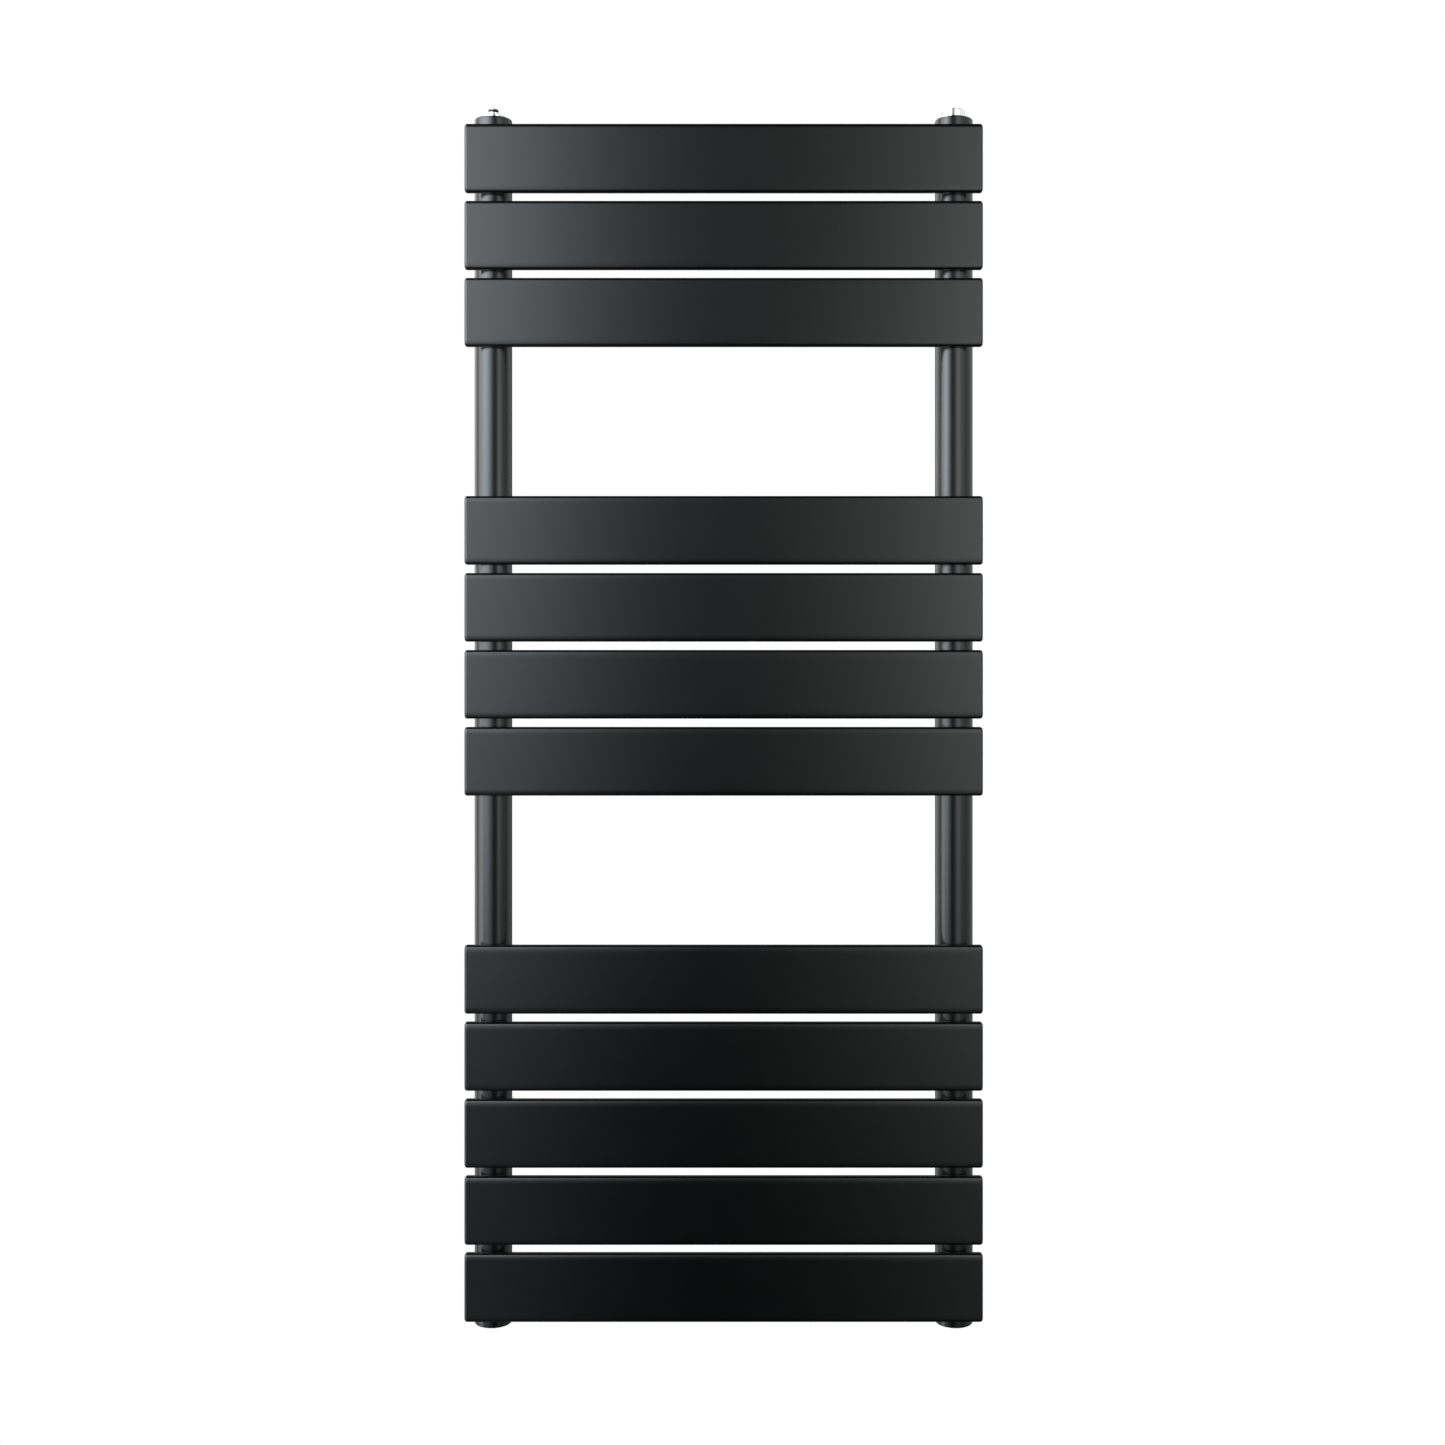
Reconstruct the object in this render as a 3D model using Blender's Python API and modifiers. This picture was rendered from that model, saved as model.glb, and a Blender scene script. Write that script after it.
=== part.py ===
"""Flat-panel heated towel rail for a wet central-heating circuit.

Hollow steel panels are welded in groups to the front of two round upright collectors. The collectors
end in bushes with threaded ports: an air vent and a blanking plug at the top, open ports at the
bottom. Four telescopic brackets hold the rail off the wall.

Metres, +Z up, the front faces -Y. The origin is on the wall plane, midway between the four brackets.
"""

import math

import bmesh
import bpy
from mathutils import Matrix, Vector

# Clearances
FIT = 0.0003  # between pieces that touch, screw or slide into one another

# Panels
PANEL_GROUPS = (3, 4, 5)  # panels in each group, from the top
PANEL_LENGTH = 0.500
PANEL_HEIGHT = 0.0663
PANEL_THICKNESS = 0.008
PANEL_WALL = 0.0012
PANEL_FRONT_RADIUS = 0.0065  # along the long front edges
PANEL_BACK_RADIUS = 0.001  # along the long back edges
PANEL_END_RADIUS = 0.0012  # round each end
PANEL_GAP = 0.008  # between panels of one group
GROUP_OPENING = 0.1441  # between groups, where towels hang

# Collectors
PANEL_OVERHANG = 0.025  # from a collector's axis to the panels' end
COLLECTOR_DIAMETER = 0.0365
COLLECTOR_WALL = 0.0015
COLLECTOR_ABOVE = 0.010  # collector top above the top panel
COLLECTOR_BELOW = 0.0084  # collector bottom below the bottom panel
NECK_DIAMETER = 0.018  # the drawn neck that passes water into a panel
NECK_BORE = 0.014

# Collector ends: turned bushes, each with a port for 1/2 inch pipe thread
END_LENGTH = 0.014
END_RIM_RADIUS = 0.0015
PORT_BORE = 0.0186

# Fittings in the top ports
SEAL_SECTION = 0.001  # thickness of the sealing ring
PLUG_FLANGE_LIP = 0.0027  # the flange beyond the port's bore
PLUG_FLANGE_HEIGHT = 0.0015
PLUG_HEAD_SETBACK = 0.00115  # the head inside the flange
PLUG_HEAD_HEIGHT = 0.006
PLUG_SOCKET_FLATS = 0.010
PLUG_SOCKET_DEPTH = 0.005
THREAD_LENGTH = 0.009
VENT_FLANGE_LIP = 0.0015
VENT_FLANGE_HEIGHT = 0.0024
VENT_SHOULDER_DIAMETER = 0.013
VENT_SHOULDER_HEIGHT = 0.0026
SPOUT_WALL = 0.0025
SPOUT_HEIGHT = 0.003
SPOUT_PLAY = 0.0006  # between the pin and the spout's bore
SPOUT_OUTLET = 0.0016
PIN_DIAMETER = 0.0038
PIN_HEAD_LIP = 0.0014  # the head beyond the pin
PIN_HEAD_HEIGHT = 0.001
PIN_SLOT = 0.0009

# Wall brackets
BRACKET_PANELS = (1, 9)  # the panels, counted from the top, that hide the upper and lower pair
SLEEVE_WALL = 0.0037
SLEEVE_LENGTH = 0.032
SLEEVE_BASE = 0.005  # thickness of the end that lies on the wall
SLEEVE_SCREW_HOLE = 0.0055
SPINDLE_DIAMETER = 0.012
SPINDLE_SETBACK = 0.012  # from the sleeve's base to the spindle's end
SPINDLE_THREAD = 0.008
BRACKET_GAP = 0.00875  # from the sleeve's mouth to the boss, which leaves the travel towards the wall
BOSS_WALL = 0.0037
BOSS_LENGTH = 0.009
ROSETTE_WIDTH = 0.0067  # from the sleeve to the rosette's rim
ROSETTE_DEPTH = 0.006
GRUB_DIAMETER = 0.0044
GRUB_SETBACK = 0.006  # from the sleeve's mouth to the grub screw's axis
GRUB_SOCKET_FLATS = 0.0025

# Smoothness of round pieces
TUBE_SEGMENTS = 32
FITTING_SEGMENTS = 20
SMALL_SEGMENTS = 12
SMOOTH_ANGLE = math.radians(40)
MERGE = 0.00001

# Worked out from the sizes above
COLLECTOR_SPACING = PANEL_LENGTH - 2 * PANEL_OVERHANG
PANEL_PITCH = PANEL_HEIGHT + PANEL_GAP
GROUP_PITCH = PANEL_HEIGHT + GROUP_OPENING
COLLECTOR_RADIUS = COLLECTOR_DIAMETER / 2
COLLECTOR_Y = -(SLEEVE_LENGTH + BRACKET_GAP + BOSS_LENGTH + COLLECTOR_RADIUS)
PANEL_BACK_Y = COLLECTOR_Y - COLLECTOR_RADIUS - FIT
PANEL_Y = PANEL_BACK_Y - PANEL_THICKNESS / 2
SEAT = SEAL_SECTION + 2 * FIT  # a flange's underside above the collector end
SEAL_RADIUS = PORT_BORE / 2 + SEAL_SECTION / 2
THREAD_RADIUS = PORT_BORE / 2 - FIT
PLUG_FLANGE_DIAMETER = PORT_BORE + 2 * PLUG_FLANGE_LIP
PLUG_HEAD_DIAMETER = PLUG_FLANGE_DIAMETER - 2 * PLUG_HEAD_SETBACK
VENT_FLANGE_DIAMETER = PORT_BORE + 2 * VENT_FLANGE_LIP
SPOUT_BORE = PIN_DIAMETER + 2 * SPOUT_PLAY
SPOUT_DIAMETER = SPOUT_BORE + 2 * SPOUT_WALL
PIN_HEAD_DIAMETER = PIN_DIAMETER + 2 * PIN_HEAD_LIP
SLEEVE_DIAMETER = SPINDLE_DIAMETER + 2 * (FIT + SLEEVE_WALL)
BOSS_DIAMETER = SPINDLE_THREAD + 2 * (FIT + BOSS_WALL)
ROSETTE_DIAMETER = SLEEVE_DIAMETER + 2 * (FIT + ROSETTE_WIDTH)


def panel_heights():
    """Z of each panel's centre, from the top down, with the brackets' middle at zero."""
    heights = [0.0]
    for group, count in enumerate(PANEL_GROUPS):
        if group:
            heights.append(heights[-1] - GROUP_PITCH)
        for _ in range(count - 1):
            heights.append(heights[-1] - PANEL_PITCH)
    upper, lower = (heights[index] for index in BRACKET_PANELS)
    return [height - (upper + lower) / 2 for height in heights]


PANEL_Z = panel_heights()
COLLECTOR_TOP = PANEL_Z[0] + PANEL_HEIGHT / 2 + COLLECTOR_ABOVE
COLLECTOR_BOTTOM = PANEL_Z[-1] - PANEL_HEIGHT / 2 - COLLECTOR_BELOW
BRACKET_Z = [PANEL_Z[index] for index in BRACKET_PANELS]
SIDES = (("left", -COLLECTOR_SPACING / 2), ("right", COLLECTOR_SPACING / 2))


def clear_scene():
    for obj in list(bpy.data.objects):
        bpy.data.objects.remove(obj, do_unlink=True)


def new_collection(name):
    collection = bpy.data.collections.new(name)
    bpy.context.scene.collection.children.link(collection)
    return collection


def finish(name, colour, roughness, metallic):
    material = bpy.data.materials.new(name)
    material.use_nodes = True
    shader = material.node_tree.nodes["Principled BSDF"]
    shader.inputs["Base Color"].default_value = (*colour, 1)
    shader.inputs["Roughness"].default_value = roughness
    shader.inputs["Metallic"].default_value = metallic
    material.diffuse_color = (*colour, 1)
    return material


def place(name, mesh, material, location=(0, 0, 0), rotation=(0, 0, 0), parent=None):
    """A named piece of the object."""
    obj = bpy.data.objects.new(name, mesh)
    if not mesh.materials:
        mesh.materials.append(material)
    obj.location = location
    obj.rotation_euler = rotation
    obj.parent = parent
    PIECES.objects.link(obj)
    return obj


def cutter(name, mesh, location=(0, 0, 0), rotation=(0, 0, 0)):
    """A shape that only cuts or joins, and stays out of the object."""
    obj = bpy.data.objects.new(name, mesh)
    obj.location = location
    obj.rotation_euler = rotation
    obj.hide_render = True
    obj.display_type = "WIRE"
    CUTTERS.objects.link(obj)
    return obj


def boolean(obj, other, operation="DIFFERENCE"):
    modifier = obj.modifiers.new(operation.title(), "BOOLEAN")
    modifier.operation = operation
    modifier.object = other
    return modifier


def smooth(mesh):
    mesh.shade_smooth()
    mesh.set_sharp_from_angle(angle=SMOOTH_ANGLE)


def realised(obj, name):
    """The mesh of an object with its modifiers applied."""
    bpy.context.view_layer.update()
    graph = bpy.context.evaluated_depsgraph_get()
    mesh = bpy.data.meshes.new_from_object(obj.evaluated_get(graph))
    mesh.name = name
    smooth(mesh)
    return mesh


def mesh_from(name, bm):
    mesh = bpy.data.meshes.new(name)
    bm.to_mesh(mesh)
    bm.free()
    return mesh


def cylinder(name, diameter, low, high, segments=SMALL_SEGMENTS):
    """A cylinder along Z from low to high."""
    bm = bmesh.new()
    bmesh.ops.create_cone(
        bm,
        cap_ends=True,
        segments=segments,
        radius1=diameter / 2,
        radius2=diameter / 2,
        depth=high - low,
        matrix=Matrix.Translation((0, 0, (low + high) / 2)),
    )
    return mesh_from(name, bm)


def hexagon(name, flats, low, high):
    return cylinder(name, flats / math.cos(math.pi / 6), low, high, segments=6)


def rounded_bar(name, size, front_radius, back_radius, end_radius):
    """A flat bar along X, its long front edges well rounded and its other edges eased."""
    bm = bmesh.new()
    bmesh.ops.create_cube(bm, matrix=Matrix.Diagonal((*size, 1)))
    for radius, facing, segments in ((front_radius, -1, 4), (back_radius, 1, 1)):
        long_edges = [
            e
            for e in bm.edges
            if abs((e.verts[0].co - e.verts[1].co).x) > MERGE
            and all(v.co.y * facing > size[1] / 2 - MERGE for v in e.verts)
        ]
        bmesh.ops.bevel(
            bm,
            geom=long_edges,
            offset=radius,
            segments=segments,
            profile=0.5,
            affect="EDGES",
        )
    if end_radius:
        end_edges = [
            e
            for e in bm.edges
            if min(abs(v.co.x) for v in e.verts) > size[0] / 2 - MERGE
        ]
        bmesh.ops.bevel(
            bm, geom=end_edges, offset=end_radius, segments=1, affect="EDGES"
        )
    return mesh_from(name, bm)


def quarter(radius, centre, start, steps=3):
    """Points of a quarter circle in an (r, z) outline, clockwise from the start angle in degrees."""
    points = []
    for step in range(steps + 1):
        angle = math.radians(start - 90 * step / steps)
        points.append(
            (centre[0] + radius * math.cos(angle), centre[1] + radius * math.sin(angle))
        )
    return points


def turned(name, outline, segments=FITTING_SEGMENTS, closed=False):
    """The mesh of an (r, z) outline turned about Z. The outline runs down its outer side."""
    bm = bmesh.new()
    verts = [bm.verts.new((r, 0, z)) for r, z in outline]
    for first, second in zip(verts, verts[1:]):
        bm.edges.new((first, second))
    if closed:
        bm.edges.new((verts[-1], verts[0]))
    profile = cutter(name + "_outline", mesh_from(name + "_outline", bm))
    screw = profile.modifiers.new("Turn", "SCREW")
    screw.axis = "Z"
    screw.steps = segments
    screw.render_steps = segments
    screw.use_merge_vertices = True
    screw.merge_threshold = MERGE
    mesh = realised(profile, name)
    bpy.data.objects.remove(profile, do_unlink=True)
    return mesh


def make_panels(material):
    """Each panel is a hollow flat bar, open to the collectors by a hole behind each end."""
    size = Vector((PANEL_LENGTH, PANEL_THICKNESS, PANEL_HEIGHT))
    inner = size - Vector((2, 2, 2)) * PANEL_WALL
    radii = (PANEL_FRONT_RADIUS, PANEL_BACK_RADIUS, PANEL_END_RADIUS)
    shell = cutter("panel_blank", rounded_bar("panel_blank", size, *radii))
    inner_radii = (PANEL_FRONT_RADIUS - PANEL_WALL, PANEL_BACK_RADIUS / 2, 0)
    hollow = rounded_bar("panel_hollow", inner, *inner_radii)
    boolean(shell, cutter("panel_hollow", hollow))
    hole_depth = PANEL_THICKNESS / 2
    hole = cylinder("panel_hole", NECK_DIAMETER + 2 * FIT, 0, hole_depth + FIT)
    for side, x in SIDES:
        towards_back = (-math.pi / 2, 0, 0)
        boolean(shell, cutter(f"panel_hole_{side}", hole, (x, 0, 0), towards_back))
    mesh = realised(shell, "panel")
    for number, z in enumerate(PANEL_Z, 1):
        place(f"panel_{number:02d}", mesh, material, (0, PANEL_Y, z))


def make_collectors(material):
    """A collector is a tube with a short neck for each panel, flush with the panel's inner wall."""
    length = COLLECTOR_TOP - COLLECTOR_BOTTOM - 2 * (END_LENGTH + FIT)
    middle = (COLLECTOR_TOP + COLLECTOR_BOTTOM) / 2
    bore_diameter = COLLECTOR_DIAMETER - 2 * COLLECTOR_WALL
    reach = COLLECTOR_RADIUS + FIT + PANEL_WALL
    blank = cylinder("collector", COLLECTOR_DIAMETER, -length / 2, length / 2, TUBE_SEGMENTS)
    bore = cylinder("collector_bore", bore_diameter, -length, length, TUBE_SEGMENTS)
    neck = cylinder("neck", NECK_DIAMETER, 0, reach)
    port = cylinder("neck_port", NECK_BORE, 0, reach + FIT)
    forwards = (math.pi / 2, 0, 0)
    for side, x in SIDES:
        tube_at = (x, COLLECTOR_Y, middle)
        tube = cutter(f"collector_blank_{side}", blank, tube_at)
        for number, z in enumerate(PANEL_Z, 1):
            spot = (x, COLLECTOR_Y, z)
            boolean(tube, cutter(f"neck_{side}_{number}", neck, spot, forwards), "UNION")
        boolean(tube, cutter(f"collector_bore_{side}", bore, tube_at))
        for number, z in enumerate(PANEL_Z, 1):
            spot = (x, COLLECTOR_Y, z)
            boolean(tube, cutter(f"port_{side}_{number}", port, spot, forwards))
        name = f"collector_{side}"
        place(name, realised(tube, name), material, tube_at)


def make_collector_ends(material):
    """A turned bush closes each end of a collector and holds the port's thread."""
    rim = END_RIM_RADIUS
    outline = [
        *quarter(rim, (COLLECTOR_RADIUS - rim, -rim), 90),
        (COLLECTOR_RADIUS, -END_LENGTH),
        (PORT_BORE / 2, -END_LENGTH),
        (PORT_BORE / 2, 0),
    ]
    mesh = turned("collector_end", outline, TUBE_SEGMENTS, closed=True)
    upside_down = (math.pi, 0, 0)
    for side, x in SIDES:
        top = (x, COLLECTOR_Y, COLLECTOR_TOP)
        bottom = (x, COLLECTOR_Y, COLLECTOR_BOTTOM)
        place(f"top_port_{side}", mesh, material, top)
        place(f"bottom_port_{side}", mesh, material, bottom, upside_down)


def make_seals(material):
    section = SEAL_SECTION / 2
    points = 6
    outline = [
        (
            SEAL_RADIUS + section * math.cos(-2 * math.pi * step / points),
            section * math.sin(-2 * math.pi * step / points),
        )
        for step in range(points)
    ]
    mesh = turned("sealing_ring", outline, closed=True)
    for name, x in (("vent_sealing_ring", SIDES[0][1]), ("plug_sealing_ring", SIDES[1][1])):
        place(name, mesh, material, (x, COLLECTOR_Y, COLLECTOR_TOP + FIT + section))


def make_plug(material):
    """The blanking plug: a turned round head with a hexagon socket, on a thin flange."""
    flange_top = SEAT + PLUG_FLANGE_HEIGHT
    top = flange_top + PLUG_HEAD_HEIGHT
    edge = 0.001
    outline = (
        [(0, top)]
        + quarter(edge, (PLUG_HEAD_DIAMETER / 2 - edge, top - edge), 90, 2)
        + [
            (PLUG_HEAD_DIAMETER / 2, flange_top),
            (PLUG_FLANGE_DIAMETER / 2, flange_top),
            (PLUG_FLANGE_DIAMETER / 2, SEAT),
            (THREAD_RADIUS, SEAT),
            (THREAD_RADIUS, -THREAD_LENGTH),
            (0, -THREAD_LENGTH),
        ]
    )
    place_at = (SIDES[1][1], COLLECTOR_Y, COLLECTOR_TOP)
    plug = place("blanking_plug", turned("blanking_plug", outline), material, place_at)
    socket = hexagon("plug_socket", PLUG_SOCKET_FLATS, top - PLUG_SOCKET_DEPTH, top + edge)
    boolean(plug, cutter("plug_socket", socket, place_at))


def make_vent(chrome, plastic):
    """The air vent: a body in the port, a spout that turns on it and the pin that opens it."""
    x = SIDES[0][1]
    base = (x, COLLECTOR_Y, COLLECTOR_TOP)
    flange_top = SEAT + VENT_FLANGE_HEIGHT
    shoulder_top = flange_top + VENT_SHOULDER_HEIGHT
    bore = PIN_DIAMETER / 2 + FIT
    body = [
        (VENT_SHOULDER_DIAMETER / 2, shoulder_top),
        (VENT_SHOULDER_DIAMETER / 2 + 0.0008, flange_top + 0.0006),
        (VENT_FLANGE_DIAMETER / 2 - 0.0006, flange_top),
        (VENT_FLANGE_DIAMETER / 2, flange_top - 0.0006),
        (VENT_FLANGE_DIAMETER / 2, SEAT),
        (THREAD_RADIUS, SEAT),
        (THREAD_RADIUS, -THREAD_LENGTH),
        (bore, -THREAD_LENGTH),
        (bore, shoulder_top),
    ]
    place("air_vent_body", turned("air_vent_body", body, closed=True), chrome, base)

    pivot = bpy.data.objects.new("vent_axis", None)
    pivot.location = base
    PIECES.objects.link(pivot)

    spout_low = shoulder_top + FIT
    spout_high = spout_low + SPOUT_HEIGHT
    chamfer = 0.0004
    ring = [
        (SPOUT_DIAMETER / 2 - chamfer, spout_high),
        (SPOUT_DIAMETER / 2, spout_high - chamfer),
        (SPOUT_DIAMETER / 2, spout_low),
        (SPOUT_BORE / 2, spout_low),
        (SPOUT_BORE / 2, spout_high),
    ]
    mesh = turned("air_vent_spout", ring, SMALL_SEGMENTS, closed=True)
    spout = place("air_vent_spout", mesh, plastic, parent=pivot)
    outlet = cylinder("spout_outlet", SPOUT_OUTLET, 0, SPOUT_DIAMETER, 8)
    outlet_at = Vector(base) + Vector((0, 0, (spout_low + spout_high) / 2))
    sideways = (math.pi / 2, 0, math.radians(35))
    boolean(spout, cutter("spout_outlet", outlet, outlet_at, sideways))

    head_low = spout_high + FIT
    head_high = head_low + PIN_HEAD_HEIGHT
    pin_outline = [
        (0, head_high),
        (PIN_HEAD_DIAMETER / 2, head_high),
        (PIN_HEAD_DIAMETER / 2, head_low),
        (PIN_DIAMETER / 2, head_low),
        (PIN_DIAMETER / 2, -THREAD_LENGTH + PIN_DIAMETER / 2),
        (0, -THREAD_LENGTH),
    ]
    pin_mesh = turned("air_vent_pin", pin_outline, SMALL_SEGMENTS)
    pin = place("air_vent_pin", pin_mesh, chrome, parent=pivot)
    slot = bmesh.new()
    slot_size = (PIN_HEAD_DIAMETER * 1.2, PIN_SLOT, PIN_HEAD_HEIGHT, 1)
    bmesh.ops.create_cube(slot, matrix=Matrix.Diagonal(slot_size))
    slot_at = Vector(base) + Vector((0, 0, head_high))
    boolean(pin, cutter("pin_slot", mesh_from("pin_slot", slot), slot_at))


def make_boss_mesh():
    """A boss reaches from the collector's back to its own rear face, saddled onto the tube."""
    boss = cutter(
        "boss_blank",
        cylinder("boss_blank", BOSS_DIAMETER, 0, COLLECTOR_RADIUS + BOSS_LENGTH),
    )
    tube_diameter = COLLECTOR_DIAMETER + 2 * FIT
    tube = cylinder(
        "boss_saddle", tube_diameter, -BOSS_DIAMETER, BOSS_DIAMETER, TUBE_SEGMENTS
    )
    boolean(boss, cutter("boss_saddle", tube, rotation=(math.pi / 2, 0, 0)))
    thread = cylinder(
        "boss_thread", SPINDLE_THREAD + 2 * FIT, 0, 2 * COLLECTOR_RADIUS + BOSS_LENGTH
    )
    boolean(boss, cutter("boss_thread", thread))
    return realised(boss, "bracket_boss")


def make_brackets(paint, steel, chrome):
    """A sleeve on the wall, a spindle that slides in it from the rail's boss, a lock and a trim."""
    mouth = SLEEVE_LENGTH
    bore = SPINDLE_DIAMETER / 2 + FIT
    edge = 0.0008
    sleeve_outline = [
        (SLEEVE_DIAMETER / 2 - edge, mouth),
        (SLEEVE_DIAMETER / 2, mouth - edge),
        (SLEEVE_DIAMETER / 2, 0),
        (SLEEVE_SCREW_HOLE / 2, 0),
        (SLEEVE_SCREW_HOLE / 2, SLEEVE_BASE),
        (bore, SLEEVE_BASE),
        (bore, mouth),
    ]
    sleeve_mesh = turned("wall_sleeve", sleeve_outline, closed=True)
    grub_z = mouth - GRUB_SETBACK
    grub_hole = cylinder(
        "grub_hole", GRUB_DIAMETER + 2 * FIT, SPINDLE_DIAMETER / 4, SLEEVE_DIAMETER
    )
    grub_blank = cutter(
        "grub_blank",
        cylinder("grub_blank", GRUB_DIAMETER, bore, SLEEVE_DIAMETER / 2 - FIT),
    )
    socket = hexagon(
        "grub_socket",
        GRUB_SOCKET_FLATS,
        (bore + SLEEVE_DIAMETER / 2) / 2,
        SLEEVE_DIAMETER,
    )
    boolean(grub_blank, cutter("grub_socket", socket))
    grub_mesh = realised(grub_blank, "grub_screw")

    rosette_bore = SLEEVE_DIAMETER / 2 + FIT
    round_over = ROSETTE_DEPTH / 2
    rosette_outline = [
        *quarter(round_over, (ROSETTE_DIAMETER / 2 - round_over, ROSETTE_DEPTH - round_over), 90),
        (ROSETTE_DIAMETER / 2, 0),
        (rosette_bore, 0),
        (rosette_bore, ROSETTE_DEPTH),
    ]
    rosette_mesh = turned("rosette", rosette_outline, closed=True)

    spindle_end = SLEEVE_BASE + SPINDLE_SETBACK
    boss_face = mouth + BRACKET_GAP
    spindle_outline = [
        (0, boss_face + BOSS_LENGTH - FIT),
        (SPINDLE_THREAD / 2, boss_face + BOSS_LENGTH - FIT),
        (SPINDLE_THREAD / 2, boss_face - FIT),
        (SPINDLE_DIAMETER / 2, boss_face - FIT),
        (SPINDLE_DIAMETER / 2, spindle_end + edge),
        (SPINDLE_DIAMETER / 2 - edge, spindle_end),
        (0, spindle_end),
    ]
    spindle_mesh = turned("spindle", spindle_outline, SMALL_SEGMENTS)
    boss_mesh = make_boss_mesh()

    out_of_wall = (math.pi / 2, 0, 0)
    downwards = (math.pi, 0, 0)
    from_tube_to_wall = (-math.pi / 2, 0, 0)
    for level, z in zip(("upper", "lower"), BRACKET_Z):
        for side, x in SIDES:
            spot = f"{level}_{side}"
            foot = (x, 0, z)
            grub_at = (x, -grub_z, z)
            sleeve = place(f"wall_sleeve_{spot}", sleeve_mesh, chrome, foot, out_of_wall)
            boolean(sleeve, cutter(f"grub_hole_{spot}", grub_hole, grub_at, downwards))
            place(f"grub_screw_{spot}", grub_mesh, steel, grub_at, downwards)
            place(f"rosette_{spot}", rosette_mesh, chrome, foot, out_of_wall)
            place(f"spindle_{spot}", spindle_mesh, steel, foot, out_of_wall)
            place(
                f"bracket_boss_{spot}",
                boss_mesh,
                paint,
                (x, COLLECTOR_Y, z),
                from_tube_to_wall,
            )


clear_scene()
PIECES = new_collection("towel_warmer_rack")
CUTTERS = new_collection("cutters")
CUTTERS.hide_render = True

powder_coat = finish("black_powder_coat", (0.012, 0.013, 0.014), 0.42, 0.0)
bright_chrome = finish("bright_chrome", (0.78, 0.79, 0.80), 0.08, 1.0)
black_plastic = finish("black_plastic", (0.015, 0.015, 0.016), 0.5, 0.0)
zinc_steel = finish("zinc_plated_steel", (0.55, 0.56, 0.58), 0.35, 1.0)
seal_rubber = finish("seal_rubber", (0.02, 0.02, 0.02), 0.7, 0.0)

make_panels(powder_coat)
make_collectors(powder_coat)
make_collector_ends(powder_coat)
make_seals(seal_rubber)
make_plug(bright_chrome)
make_vent(bright_chrome, black_plastic)
make_brackets(powder_coat, zinc_steel, bright_chrome)
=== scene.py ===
"""A flat-panel heated towel rail in satin black powder coat, with chromium plated fittings."""

import math

import bmesh
import bpy
from mathutils import Matrix, Vector


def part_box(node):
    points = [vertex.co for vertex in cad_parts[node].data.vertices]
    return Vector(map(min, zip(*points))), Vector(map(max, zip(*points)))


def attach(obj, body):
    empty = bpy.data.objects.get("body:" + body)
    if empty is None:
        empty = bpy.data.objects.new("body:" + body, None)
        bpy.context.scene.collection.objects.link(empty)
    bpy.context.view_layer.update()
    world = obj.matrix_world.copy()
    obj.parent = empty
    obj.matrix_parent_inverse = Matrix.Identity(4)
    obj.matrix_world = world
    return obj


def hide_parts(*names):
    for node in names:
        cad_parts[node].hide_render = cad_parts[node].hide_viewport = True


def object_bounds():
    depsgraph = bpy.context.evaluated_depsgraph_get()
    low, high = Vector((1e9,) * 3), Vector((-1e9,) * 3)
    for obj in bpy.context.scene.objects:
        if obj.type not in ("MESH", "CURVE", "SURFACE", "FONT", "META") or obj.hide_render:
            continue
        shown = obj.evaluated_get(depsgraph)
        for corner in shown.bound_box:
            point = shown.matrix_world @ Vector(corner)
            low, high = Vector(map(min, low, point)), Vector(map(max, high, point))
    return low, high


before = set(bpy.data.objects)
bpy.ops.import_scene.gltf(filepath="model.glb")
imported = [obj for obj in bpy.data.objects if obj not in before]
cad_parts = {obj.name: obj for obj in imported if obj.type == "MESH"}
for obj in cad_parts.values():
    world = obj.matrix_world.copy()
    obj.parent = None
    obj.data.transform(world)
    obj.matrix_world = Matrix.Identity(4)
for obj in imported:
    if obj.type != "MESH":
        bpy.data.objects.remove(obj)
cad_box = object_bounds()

# --- Camera ---------------------------------------------------------------------------------------
# A level view square on to the panels, from a little above the middle of the rail. Its distance and
# its height are measured from the front and the top of the topmost panel.
FRAME_HEIGHT = 1.391  # what the picture spans at the panels' front
CAMERA_DISTANCE = 1.71  # from the panels' front
EYE_FALL = 0.508  # the lens below the top of the panels
EYE_SIDE = -0.0011  # the lens to the left of the rail's middle
SENSOR = 36.0  # in millimetres, as the lens is
LENS_SHIFT = -0.0499  # as a share of the picture, so that the rail's foot comes into it

front_y, stack_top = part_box("panel_01")[0].y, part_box("panel_01")[1].z
camera_data = bpy.data.cameras.new("camera")
camera_data.sensor_width = SENSOR
camera_data.lens = SENSOR * CAMERA_DISTANCE / FRAME_HEIGHT
camera_data.shift_y = LENS_SHIFT
camera = bpy.data.objects.new("camera", camera_data)
camera.location = (EYE_SIDE, front_y - CAMERA_DISTANCE, stack_top - EYE_FALL)
camera.rotation_euler = (math.pi / 2, 0, 0)
bpy.context.scene.collection.objects.link(camera)
bpy.context.scene.camera = camera

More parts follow.
